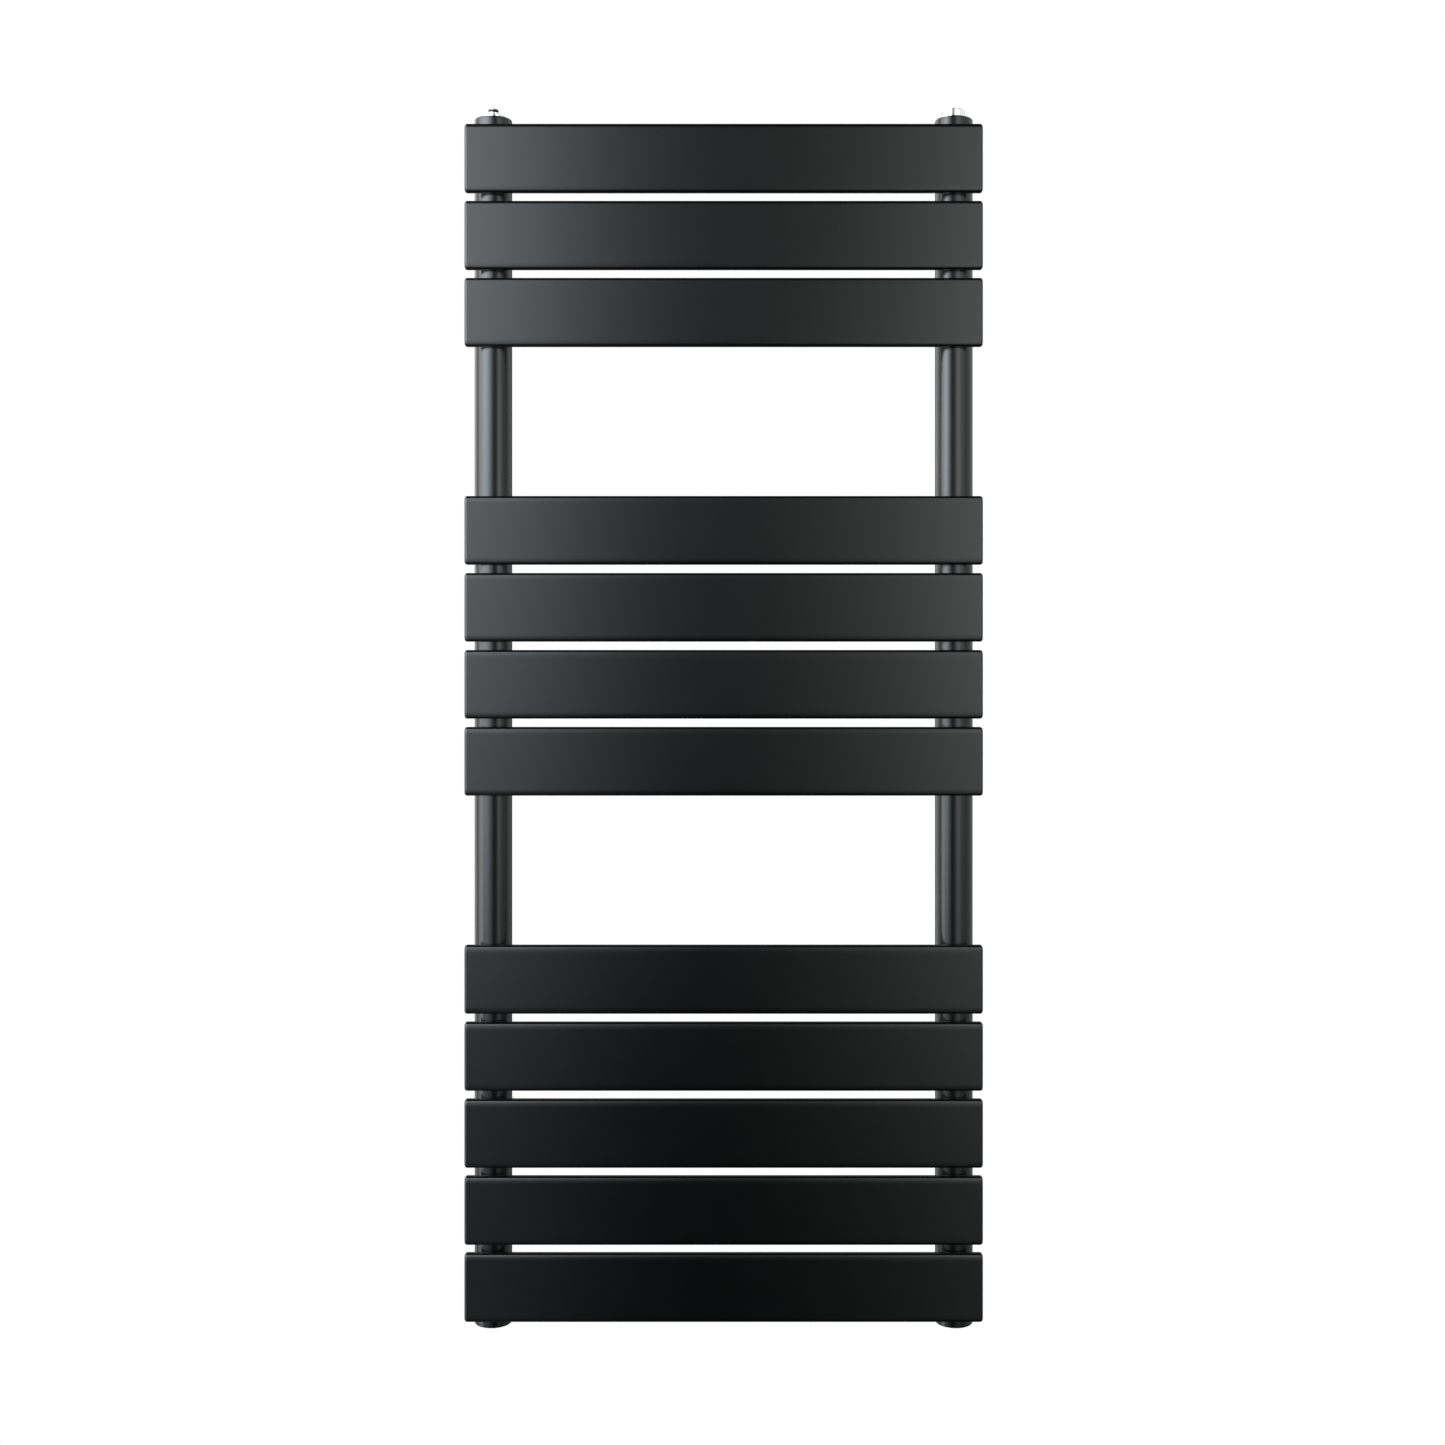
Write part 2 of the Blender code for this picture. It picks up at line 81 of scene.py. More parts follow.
# --- Studio ---------------------------------------------------------------------------------------
# A white tent round the rail, open towards the lens. Its front is two lit walls beside the lens: the
# left one is bright and a little cool, the right one weaker, and both fade inwards and downwards.
BACKDROP_RADIUS = 12.0
FLOOR_RADIUS = 3.0
FLOOR_DROP = 0.35  # the floor below the rail
TENT_COLOUR = (0.96, 0.985, 1.0)
LEFT_COLOUR = (0.87, 0.945, 1.0)
RIGHT_COLOUR = (0.94, 1.0, 0.98)
WHITE = (1, 1, 1)
WALL_DISTANCE = 0.85  # the lit walls in front of the panels
LEFT_WALL = (  # metres from the rail's middle, and the wall's light there
    (-1.70, 9.5),
    (-0.80, 9.0),
    (-0.52, 5.6),
    (-0.36, 3.4),
    (-0.30, 2.75),
    (-0.23, 1.55),
    (-0.16, 0.88),
    (-0.10, 0.50),
    (0.0, 0.28),
    (0.05, 0.25),
)
LEFT_FALL = (  # metres above the brackets' middle, and the share of the light there
    (-1.60, 0.06),
    (-0.87, 0.10),
    (-0.65, 0.12),
    (-0.53, 0.18),
    (-0.42, 0.28),
    (-0.10, 0.53),
    (0.12, 0.75),
    (0.23, 0.79),
    (0.50, 1.0),
    (1.20, 1.0),
)
RIGHT_WALL = (
    (0.05, 0.25),
    (0.12, 0.38),
    (0.19, 0.54),
    (0.30, 1.0),
    (0.42, 2.1),
    (0.62, 2.4),
    (0.85, 1.4),
    (1.70, 1.0),
)
RIGHT_FALL = (
    (-1.60, 0.12),
    (-0.87, 0.20),
    (-0.65, 0.32),
    (-0.53, 0.46),
    (-0.42, 0.60),
    (-0.10, 0.92),
    (0.12, 1.2),
    (0.50, 1.2),
    (0.78, 1.05),
    (1.20, 1.05),
)
TENT_AZIMUTH = (  # degrees from the front, positive to the right, and the tent's light there
    (-180, 0.22),
    (-155, 0.22),
    (-146, 2.2),
    (-112, 2.0),
    (-100, 0.8),
    (-88, 5.2),
    (-58, 7.4),
    (-30, 0.02),
    (30, 0.02),
    (60, 0.9),
    (132, 1.0),
    (155, 0.22),
    (180, 0.22),
)
TENT_ELEVATION = (  # degrees above the horizon, and the share of the light there
    (-90, 0.10),
    (-45, 0.12),
    (-20, 0.40),
    (0, 0.80),
    (15, 1.0),
    (40, 1.0),
    (62, 0.05),
    (90, 0.03),
)
bpy.context.scene.view_settings.view_transform = "Standard"


def calculated(tree, operation, first, second=None):
    made = tree.nodes.new("ShaderNodeMath")
    made.operation = operation
    for socket, value in zip(made.inputs, (first, second)):
        if isinstance(value, (int, float)):
            socket.default_value = value
        elif value is not None:
            tree.links.new(value, socket)
    return made.outputs["Value"]


def light_along(tree, value, stops):
    """The light at a value, from stops of (value, light) joined by straight lines."""
    start, end = stops[0][0], stops[-1][0]
    brightest = max(light for _, light in stops)
    share = tree.nodes.new("ShaderNodeMapRange")
    share.inputs["From Min"].default_value = start
    share.inputs["From Max"].default_value = end
    tree.links.new(value, share.inputs["Value"])
    ramp = tree.nodes.new("ShaderNodeValToRGB")
    tree.links.new(share.outputs["Result"], ramp.inputs["Fac"])
    places = ramp.color_ramp.elements
    while len(places) < len(stops):
        places.new(0.5)
    for place, (spot, light) in zip(places, stops):
        place.position = (spot - start) / (end - start)
        place.color = (*[light / brightest] * 3, 1)
    return calculated(tree, "MULTIPLY", ramp.outputs["Color"], brightest)


def make_tent():
    world = bpy.data.worlds.new("studio_tent")
    bpy.context.scene.world = world
    world.use_nodes = True
    tree = world.node_tree
    tree.nodes.clear()
    coordinates = tree.nodes.new("ShaderNodeTexCoord")
    split = tree.nodes.new("ShaderNodeSeparateXYZ")
    tree.links.new(coordinates.outputs["Generated"], split.inputs["Vector"])
    forwards = calculated(tree, "MULTIPLY", split.outputs["Y"], -1)
    turn = calculated(tree, "ARCTAN2", split.outputs["X"], forwards)
    azimuth = calculated(tree, "DEGREES", turn)
    elevation = calculated(tree, "DEGREES", calculated(tree, "ARCSINE", split.outputs["Z"]))
    sides = light_along(tree, azimuth, TENT_AZIMUTH)
    rise = light_along(tree, elevation, TENT_ELEVATION)
    background = tree.nodes.new("ShaderNodeBackground")
    background.inputs["Color"].default_value = (*TENT_COLOUR, 1)
    strength = calculated(tree, "MULTIPLY", sides, rise)
    tree.links.new(strength, background.inputs["Strength"])
    output = tree.nodes.new("ShaderNodeOutputWorld")
    tree.links.new(background.outputs["Background"], output.inputs["Surface"])


def glowing(name, colour, across=None, fall=None):
    """An evenly lit cloth, or one whose light follows its width and height."""
    material = bpy.data.materials.new(name)
    material.use_nodes = True
    tree = material.node_tree
    tree.nodes.clear()
    emission = tree.nodes.new("ShaderNodeEmission")
    emission.inputs["Color"].default_value = (*colour, 1)
    if across:
        where = tree.nodes.new("ShaderNodeNewGeometry")
        split = tree.nodes.new("ShaderNodeSeparateXYZ")
        tree.links.new(where.outputs["Position"], split.inputs["Vector"])
        width_light = light_along(tree, split.outputs["X"], across)
        height_light = light_along(tree, split.outputs["Z"], fall)
        strength = calculated(tree, "MULTIPLY", width_light, height_light)
        tree.links.new(strength, emission.inputs["Strength"])
    output = tree.nodes.new("ShaderNodeOutputMaterial")
    tree.links.new(emission.outputs["Emission"], output.inputs["Surface"])
    return material


def stage_piece(name, bm, material):
    mesh = bpy.data.meshes.new(name)
    bm.to_mesh(mesh)
    bm.free()
    mesh.materials.append(material)
    obj = bpy.data.objects.new(name, mesh)
    bpy.context.scene.collection.objects.link(obj)
    return obj


def only_seen(obj):
    """The lens sees it, and it neither lights nor shades the rail."""
    obj.visible_diffuse = False
    obj.visible_glossy = False
    obj.visible_transmission = False
    obj.visible_shadow = False


def lit_wall(name, across, fall, colour):
    """A wall of the tent that lights the rail and that the lens doesn't see."""
    bm = bmesh.new()
    left, right = across[0][0], across[-1][0]
    bottom, top = fall[0][0], fall[-1][0]
    y = front_y - WALL_DISTANCE
    corners = ((left, bottom), (left, top), (right, top), (right, bottom))
    bm.faces.new([bm.verts.new((x, y, z)) for x, z in corners])
    wall = stage_piece(name, bm, glowing(name, colour, across, fall))
    wall.visible_camera = False


make_tent()
backdrop = bmesh.new()
bmesh.ops.create_icosphere(backdrop, subdivisions=4, radius=BACKDROP_RADIUS)
only_seen(stage_piece("backdrop", backdrop, glowing("backdrop_white", WHITE)))
floor = bmesh.new()
floor_spot = Matrix.Translation((0, 0, cad_box[0].z - FLOOR_DROP))
bmesh.ops.create_circle(floor, cap_ends=True, segments=96, radius=FLOOR_RADIUS, matrix=floor_spot)
only_seen(stage_piece("floor", floor, glowing("floor_white", WHITE)))
lit_wall("left_wall", LEFT_WALL, LEFT_FALL, LEFT_COLOUR)
lit_wall("right_wall", RIGHT_WALL, RIGHT_FALL, RIGHT_COLOUR)

# --- Panels ---------------------------------------------------------------------------------------
# Twelve hollow flat bars of 1.2 mm steel, rolled with wide front edges and small back edges. A plate
# is let into each end and ground, then the whole rail is powder coated in satin black.
CROWN_RADIUS = 0.015  # the front face's gentle roll before its edge
CROWN_TURN = 15.0  # degrees that the roll turns
FRONT_RADIUS = 0.0039
BACK_RADIUS = 0.001
END_RADIUS = 0.0027
PANEL_WALL = 0.0012
END_PLATE_STEP = 0.00025  # the end plate below the bar's rim
NOISE_RANGE = (0.3, 0.7)  # where most of a noise pattern's values lie


class Finish:
    """A Principled surface whose colour, gloss and relief come from noise in the piece's own metres."""

    def __init__(self, name, metallic=0.0, stretch=(1, 1, 1)):
        self.material = bpy.data.materials.new(name)
        self.material.use_nodes = True
        self.nodes, self.links = self.material.node_tree.nodes, self.material.node_tree.links
        self.shader = self.nodes["Principled BSDF"]
        self.shader.inputs["Metallic"].default_value = metallic
        where = self.nodes.new("ShaderNodeTexCoord")
        mapping = self.nodes.new("ShaderNodeMapping")
        mapping.inputs["Scale"].default_value = stretch
        self.links.new(where.outputs["Object"], mapping.inputs["Vector"])
        self.place = mapping.outputs["Vector"]
        self.relief = None

    def pattern(self, scale, detail):
        made = self.nodes.new("ShaderNodeTexNoise")
        made.inputs["Scale"].default_value = scale
        made.inputs["Detail"].default_value = detail
        self.links.new(self.place, made.inputs["Vector"])
        return made.outputs["Fac"]

    def spread(self, value, least, most):
        made = self.nodes.new("ShaderNodeMapRange")
        made.inputs["From Min"].default_value = NOISE_RANGE[0]
        made.inputs["From Max"].default_value = NOISE_RANGE[1]
        made.inputs["To Min"].default_value = least
        made.inputs["To Max"].default_value = most
        self.links.new(value, made.inputs["Value"])
        return made.outputs["Result"]

    def colour(self, scale, darker, lighter, detail=3.0):
        mix = self.nodes.new("ShaderNodeMix")
        mix.data_type = "RGBA"
        mix.inputs["A"].default_value = (*darker, 1)
        mix.inputs["B"].default_value = (*lighter, 1)
        self.links.new(self.spread(self.pattern(scale, detail), 0, 1), mix.inputs["Factor"])
        self.links.new(mix.outputs["Result"], self.shader.inputs["Base Color"])

    def gloss(self, scale, least, most, detail=3.0):
        roughness = self.spread(self.pattern(scale, detail), least, most)
        self.links.new(roughness, self.shader.inputs["Roughness"])

    def bumps(self, scale, height, strength, detail=1.0):
        """One more layer of relief over those before it."""
        bump = self.nodes.new("ShaderNodeBump")
        bump.inputs["Strength"].default_value = strength
        bump.inputs["Distance"].default_value = height
        self.links.new(self.pattern(scale, detail), bump.inputs["Height"])
        if self.relief:
            self.links.new(self.relief, bump.inputs["Normal"])
        self.relief = bump.outputs["Normal"]
        self.links.new(self.relief, self.shader.inputs["Normal"])


def powder_coat():
    """Satin black powder coat: faint orange peel, a fine grain, and barely uneven gloss."""
    coat = Finish("satin_black_powder_coat")
    coat.colour(30.0, (0.0008, 0.0009, 0.0009), (0.0012, 0.0013, 0.0014))
    coat.gloss(25.0, 0.215, 0.225)
    coat.bumps(420.0, 0.00004, 0.05)
    coat.bumps(2600.0, 0.00002, 0.08)
    return coat.material


def piece(name, bm, material, body, node, sharp_angle=35):
    """A finished piece that rides on a body and, if a node is named, stands for it."""
    bmesh.ops.recalc_face_normals(bm, faces=bm.faces)
    mesh = bpy.data.meshes.new(name)
    bm.to_mesh(mesh)
    bm.free()
    mesh.materials.append(material)
    mesh.shade_smooth()
    mesh.set_sharp_from_angle(angle=math.radians(sharp_angle))
    obj = bpy.data.objects.new(name, mesh)
    bpy.context.scene.collection.objects.link(obj)
    even = obj.modifiers.new("even_shading", "WEIGHTED_NORMAL")
    even.keep_sharp = True
    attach(obj, body)
    if node:
        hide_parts(node)
    return obj


def skin(bm, rings, closed=False):
    """Faces between rings of corners. The two end rings are joined or, if not closed, filled."""
    pairs = list(zip(rings, rings[1:]))
    if closed:
        pairs.append((rings[-1], rings[0]))
    else:
        bm.faces.new(rings[0])
        bm.faces.new(rings[-1])
    for first, second in pairs:
        for step in range(len(first)):
            after = (step + 1) % len(first)
            bm.faces.new((first[step], first[after], second[after], second[step]))


def arc(centre, radius, start, end, steps=8):
    """Points of an arc from one angle in degrees to another."""
    points = []
    for step in range(steps + 1):
        angle = math.radians(start + (end - start) * step / steps)
        across, up = radius * math.cos(angle), radius * math.sin(angle)
        points.append((centre[0] + across, centre[1] + up))
    return points


def bar_outline(half_thickness, half_height):
    """The bar's section as (depth towards the front, height), from its lower back edge round."""
    turn = math.radians(CROWN_TURN)
    corner = (
        half_thickness
        - CROWN_RADIUS * (1 - math.cos(turn))
        - FRONT_RADIUS * math.cos(turn),
        half_height - FRONT_RADIUS,
    )
    crown = (
        half_thickness - CROWN_RADIUS,
        half_height - FRONT_RADIUS + (FRONT_RADIUS - CROWN_RADIUS) * math.sin(turn),
    )
    back = (BACK_RADIUS - half_thickness, half_height - BACK_RADIUS)
    upper = [
        *arc(crown, CROWN_RADIUS, 0, CROWN_TURN, 6),
        *arc(corner, FRONT_RADIUS, CROWN_TURN, 90, 10)[1:],
        *arc(back, BACK_RADIUS, 90, 180, 4),
    ]
    return [(depth, -height) for depth, height in reversed(upper)] + upper


def flat_bar(low_corner, high_corner):
    """A flat bar along X with a crowned front, eased ends and let-in end plates."""
    size, middle = high_corner - low_corner, (high_corner + low_corner) / 2
    half_length, half_thickness, half_height = size / 2
    outline = bar_outline(half_thickness, half_height)
    stations = [
        (half_length - END_RADIUS + along, END_RADIUS - across)
        for across, along in arc((0, 0), END_RADIUS, 0, 90, 6)
    ]
    rim = END_RADIUS + PANEL_WALL / 2
    stations += [(half_length, rim), (half_length - END_PLATE_STEP, rim + END_PLATE_STEP)]
    mirrored = [(-x, inset) for x, inset in reversed(stations)]
    bm = bmesh.new()
    rings = []
    for x, inset in mirrored + stations:
        narrow, short = 1 - inset / half_thickness, 1 - inset / half_height
        ring = [bm.verts.new((x, -depth * narrow, height * short)) for depth, height in outline]
        rings.append(ring)
    skin(bm, rings)
    bm.transform(Matrix.Translation(middle))
    return bm


black = powder_coat()
panel_nodes = sorted(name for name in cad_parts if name.startswith("panel_"))
for node in panel_nodes:
    piece(f"{node}_bar", flat_bar(*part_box(node)), black, "rail", node)

# --- Collectors -----------------------------------------------------------------------------------
# Two round upright tubes of 1.5 mm steel behind the panels. Each has a drawn neck behind every panel
# that passes the water across, and a run of weld down both sides of each joint.
TUBE_WALL = 0.0015
TUBE_SEGMENTS = 128
NECK_RADIUS = 0.009
NECK_BORE_RADIUS = 0.007
WELD_RADIUS = 0.0015
WELD_SIDE = 0.0078  # the run's middle from the tube's centre line
WELD_END = 0.010  # the run stops short of the panel's edges
WELD_CORNERS = 10  # round the run
WELD_TAPER = 5  # rings over which an end is rounded off
WELD_NOSE = 0.4  # of a ring, so that an end isn't a sharp point
RIPPLE_PITCH = 0.0013
RIPPLE_STEPS = 4
RIPPLE_SHARE = 0.10  # how far the run's radius falls between ripples

port_low, port_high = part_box("top_port_left")
tube_radius = (port_high.x - port_low.x) / 2
axis_y = (port_low.y + port_high.y) / 2
rail_top, rail_bottom = port_high.z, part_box("bottom_port_left")[0].z
panel_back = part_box("panel_01")[1].y
side_x = {
    side: (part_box(f"top_port_{side}")[0].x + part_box(f"top_port_{side}")[1].x) / 2
    for side in ("left", "right")
}


def turned(rings, segments=96, closed=False):
    """A shape turned about Z from rings of (radius, height). A radius may be a function of the angle."""
    bm = bmesh.new()
    loops = []
    for radius, height in rings:
        loop = []
        for step in range(segments):
            angle = 2 * math.pi * step / segments
            reach = radius(angle) if callable(radius) else radius
            loop.append(bm.verts.new((reach * math.cos(angle), reach * math.sin(angle), height)))
        loops.append(loop)
    skin(bm, loops, closed)
    return bm


def weld_run(bm, path, radius, closed=False):
    """A weld bead along a path: a round run, rippled where each pool froze, rounded off at its ends."""
    count = len(path)
    rings = []
    for number, point in enumerate(path):
        before = path[number - 1] if number or closed else point
        after = path[(number + 1) % count] if number < count - 1 or closed else point
        along = (after - before).normalized()
        side = along.cross(Vector((0, 1, 0))).normalized()
        ripple = 1 - abs(math.sin(math.pi * number / RIPPLE_STEPS))
        swell = 1 - RIPPLE_SHARE * ripple
        if not closed:
            inset = min(1, (min(number, count - 1 - number) + WELD_NOSE) / WELD_TAPER)
            swell *= math.sqrt(1 - (1 - inset) ** 2)
        ring = []
        for step in range(WELD_CORNERS):
            angle = 2 * math.pi * step / WELD_CORNERS
            out = side * math.cos(angle) + along.cross(side) * math.sin(angle)
            ring.append(bm.verts.new(point + out * radius * swell))
        rings.append(ring)
    skin(bm, rings, closed)


def collector_tube(x):
    tube_low, tube_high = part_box("collector_left")
    inner = tube_radius - TUBE_WALL
    outline = [
        (tube_radius, tube_high.z),
        (tube_radius, tube_low.z),
        (inner, tube_low.z),
        (inner, tube_high.z),
    ]
    bm = turned(outline, TUBE_SEGMENTS, closed=True)
    bm.transform(Matrix.Translation((x, axis_y, 0)))
    return bm


def collector_necks(x):
    """The twelve necks of one collector, from inside its wall into the back of the panels."""
    bm = bmesh.new()
    for node in panel_nodes:
        z = (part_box(node)[0].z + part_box(node)[1].z) / 2
        start, end = tube_radius - TUBE_WALL / 2, axis_y - panel_back + PANEL_WALL
        outline = [
            (NECK_RADIUS, end),
            (NECK_RADIUS, start),
            (NECK_BORE_RADIUS, start),
            (NECK_BORE_RADIUS, end),
        ]
        neck = turned(outline, 48, closed=True)
        neck.transform(Matrix.Translation((x, axis_y, z)) @ Matrix.Rotation(math.pi / 2, 4, "X"))
        mesh = bpy.data.meshes.new("neck")
        neck.to_mesh(mesh)
        neck.free()
        bm.from_mesh(mesh)
        bpy.data.meshes.remove(mesh)
    return bm


def joint_welds(x):
    """The runs in the wedge between the round tube and each panel's flat back."""
    bm = bmesh.new()
    wedge = tube_radius - math.sqrt(tube_radius**2 - WELD_SIDE**2)
    for node in panel_nodes:
        bottom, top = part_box(node)[0].z + WELD_END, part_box(node)[1].z - WELD_END
        steps = round((top - bottom) / RIPPLE_PITCH) * RIPPLE_STEPS
        for side in (-1, 1):
            start = Vector((x + side * WELD_SIDE, panel_back + wedge / 2, bottom))
            rise = Vector((0, 0, top - bottom))
            weld_run(bm, [start + rise * step / steps for step in range(steps + 1)], WELD_RADIUS)
    return bm


for side, x in side_x.items():
    name = f"collector_{side}"
    piece(f"{name}_tube", collector_tube(x), black, "rail", name)
    piece(f"{name}_necks", collector_necks(x), black, "rail", None)
    piece(f"{name}_welds", joint_welds(x), black, "rail", None, 60)

# --- End bushes -----------------------------------------------------------------------------------
# Turned steel bushes welded into the ends of both collectors and ground flush. Each holds a half inch
# pipe thread: the top ones take the fittings, and the bottom ones stay open for the valves.
RIM_RADIUS = 0.0015
PORT_RADIUS = 0.0093
PORT_LEAD_IN = 0.0008
PIPE_PITCH = 0.001814
PIPE_THREAD_DEPTH = 0.00110
THREAD_STEPS = 8  # rings in one pitch
SEAM_HEIGHT = 0.0030
SEAM_PROUD = 0.00015


def screw_thread(root, depth, pitch, top, bottom):
    """Rings of a rounded screw thread between two heights, run out over a pitch at both ends."""
    count = round((top - bottom) / pitch * THREAD_STEPS)

    def ring(height):
        full = min(1, (top - height) / pitch, (height - bottom) / pitch)

        def radius(angle):
            turn = 2 * math.pi * height / pitch - angle
            return root + depth * full * (0.5 - 0.5 * math.cos(turn))

        return radius, height

    return [ring(top - (top - bottom) * step / count) for step in range(count + 1)]


def end_bush():
    """A bush about its own axis, with its outer end at height zero."""
    length = port_high.z - port_low.z
    face = PORT_RADIUS + PORT_LEAD_IN
    outline = [
        (tube_radius, -length),
        *arc((tube_radius - RIM_RADIUS, -RIM_RADIUS), RIM_RADIUS, 0, 90),
        (face, 0),
        *screw_thread(PORT_RADIUS, PIPE_THREAD_DEPTH, PIPE_PITCH, -PORT_LEAD_IN, -length),
    ]
    return turned(outline, TUBE_SEGMENTS, closed=True)


def ground_seam():
    """The weld round the joint of bush and tube, ground down to a faint band."""
    half, depth = SEAM_HEIGHT / 2, TUBE_WALL / 2
    outline = [
        (tube_radius - depth, half),
        *arc((tube_radius - half, 0), half + SEAM_PROUD, 40, -40, 10),
        (tube_radius - depth, -half),
    ]
    return turned(outline, TUBE_SEGMENTS, closed=True)


upside_down = Matrix.Rotation(math.pi, 4, "X")
for side, x in side_x.items():
    for end, height, turn in (("top", rail_top, Matrix()), ("bottom", rail_bottom, upside_down)):
        spot = Matrix.Translation((x, axis_y, height)) @ turn
        bush = end_bush()
        bush.transform(spot)
        node = f"{end}_port_{side}"
        piece(f"{node}_bush", bush, black, "rail", node)
        seam = ground_seam()
        seam.transform(spot @ Matrix.Translation((0, 0, port_low.z - port_high.z)))
        piece(f"{node}_seam", seam, black, "rail", None)

# --- Sealing rings --------------------------------------------------------------------------------
# Two moulded rubber rings of 1 mm section between the bushes and the fittings' flanges, each with the
# faint flash line of its mould.
FLASH = 0.00005


def seal_rubber():
    rubber = Finish("black_seal_rubber")
    rubber.colour(400.0, (0.009, 0.009, 0.009), (0.020, 0.020, 0.020))
    rubber.gloss(900.0, 0.62, 0.80)
    rubber.bumps(4000.0, 0.00002, 0.4, 2.0)
    return rubber.material


def sealing_ring(node):
    ring_low, ring_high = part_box(node)
    section = (ring_high.z - ring_low.z) / 2
    radius = (ring_high.x - ring_low.x) / 2 - section
    steps = 20
    outline = []
    for step in range(steps):
        angle = 2 * math.pi * step / steps
        reach = section - FLASH + (FLASH if step % (steps // 2) == 0 else 0)
        outline.append((radius + reach * math.cos(angle), section * math.sin(angle)))
    bm = turned(outline, closed=True)
    bm.transform(Matrix.Translation((ring_low + ring_high) / 2))
    return bm


rubber = seal_rubber()
for node in ("vent_sealing_ring", "plug_sealing_ring"):
    piece(f"{node}_moulded", sealing_ring(node), rubber, "rail", node, 50)

# --- Blanking plug --------------------------------------------------------------------------------
# A turned brass plug, chromium plated: a thin flange on the seal, a round head with a 10 mm hexagon
# socket and a drilled bottom, and a pipe thread that screws into the bush.
THREAD_PLAY = 0.0003
SEAT = 0.0016  # a flange's underside above the bush
THREAD_LENGTH = 0.009
PLUG_FLANGE = 0.0015
PLUG_HEAD_RADIUS = 0.01085
PLUG_EDGE = 0.0009
SOCKET_FLATS = 0.010
SOCKET_DEPTH = 0.005
FINE_EDGE = 0.0003  # broken edges of turned pieces


def bright_chrome():
    """Chromium plate over polished brass: almost a mirror, with faint polishing waves."""
    plate = Finish("bright_chrome", metallic=1.0)
    plate.colour(120.0, (0.86, 0.875, 0.89), (0.92, 0.93, 0.94))
    plate.gloss(500.0, 0.045, 0.085)
    plate.bumps(260.0, 0.00002, 0.10)
    plate.bumps(3500.0, 0.000004, 0.08)
    return plate.material


def cut(bm, tool):
    """The shape with another one cut out of it."""
    objects = []
    for part in (bm, tool):
        bmesh.ops.recalc_face_normals(part, faces=part.faces)
        mesh = bpy.data.meshes.new("part")
        part.to_mesh(mesh)
        part.free()
        obj = bpy.data.objects.new("part", mesh)
        bpy.context.scene.collection.objects.link(obj)
        objects.append(obj)
    blank, cutter = objects
    blank.modifiers.new("cut", "BOOLEAN").object = cutter
    bpy.context.view_layer.update()
    finished = blank.evaluated_get(bpy.context.evaluated_depsgraph_get())
    result = bmesh.new()
    result.from_mesh(finished.to_mesh())
    finished.to_mesh_clear()
    for obj in objects:
        bpy.data.meshes.remove(obj.data)
    return result


def hexagon(flats, bottom, top, cone):
    """A hexagon bar with a shallow cone below it, as a drill leaves."""
    corner = flats / 2 / math.cos(math.pi / 6)
    return turned([(corner, top), (corner, bottom), (corner * 0.05, bottom - cone)], 6)


def thread_rings(bottom):
    """The pipe thread of a fitting, from under its flange down to its lower end."""
    top = SEAT - FINE_EDGE
    root = PORT_RADIUS - THREAD_PLAY
    return screw_thread(root, PIPE_THREAD_DEPTH, PIPE_PITCH, top, bottom)


def plug():
    """The plug about its own axis, with the bush's end at height zero."""
    flange_radius = (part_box("blanking_plug")[1].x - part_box("blanking_plug")[0].x) / 2
    flange_top = SEAT + PLUG_FLANGE
    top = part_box("blanking_plug")[1].z - rail_top
    chamfer = SOCKET_FLATS / 2 / math.cos(math.pi / 6) + FINE_EDGE
    outline = [
        (chamfer, top),
        *arc((PLUG_HEAD_RADIUS - PLUG_EDGE, top - PLUG_EDGE), PLUG_EDGE, 90, 0),
        (PLUG_HEAD_RADIUS, flange_top + FINE_EDGE),
        (PLUG_HEAD_RADIUS + FINE_EDGE, flange_top),
        *arc((flange_radius - FINE_EDGE, flange_top - FINE_EDGE), FINE_EDGE, 90, 0, 3),
        *arc((flange_radius - FINE_EDGE, SEAT + FINE_EDGE), FINE_EDGE, 0, -90, 3),
        *thread_rings(-THREAD_LENGTH),
    ]
    bm = cut(turned(outline), hexagon(SOCKET_FLATS, top - SOCKET_DEPTH, top + 0.002, 0.001))
    bm.transform(Matrix.Translation((side_x["right"], axis_y, rail_top)))
    return bm


chrome = bright_chrome()
piece("blanking_plug_turned", plug(), chrome, "rail", "blanking_plug")

# --- Air vent -------------------------------------------------------------------------------------
# A chromium plated body with a stepped flange, a black moulded spout that turns on it to aim the air,
# and a chromium plated pin with a screwdriver slot, which opens the vent when it is unscrewed.
VENT_FLANGE = 0.0024
VENT_SHOULDER_RADIUS = 0.0065
VENT_FILLET = 0.0008
PIN_RADIUS = 0.0019
PIN_PLAY = 0.0003
PIN_HEAD_RADIUS = 0.0033
PIN_HEAD = 0.001
PIN_SLOT = (0.0009, 0.0005)  # width and depth
SPOUT_RADIUS = 0.005
SPOUT_BORE_RADIUS = 0.0025
OUTLET_RADIUS = 0.0008
OUTLET_ANGLE = 35.0  # from the front, towards the right
GRIP_RIDGES = 24
GRIP_DEPTH = 0.00012


def moulded_plastic():
    plastic = Finish("black_moulded_plastic")
    plastic.colour(300.0, (0.008, 0.008, 0.009), (0.014, 0.014, 0.015))
    plastic.gloss(700.0, 0.50, 0.60)
    plastic.shader.inputs["Specular IOR Level"].default_value = 0.2
    plastic.bumps(5000.0, 0.00002, 0.35, 2.0)
    return plastic.material


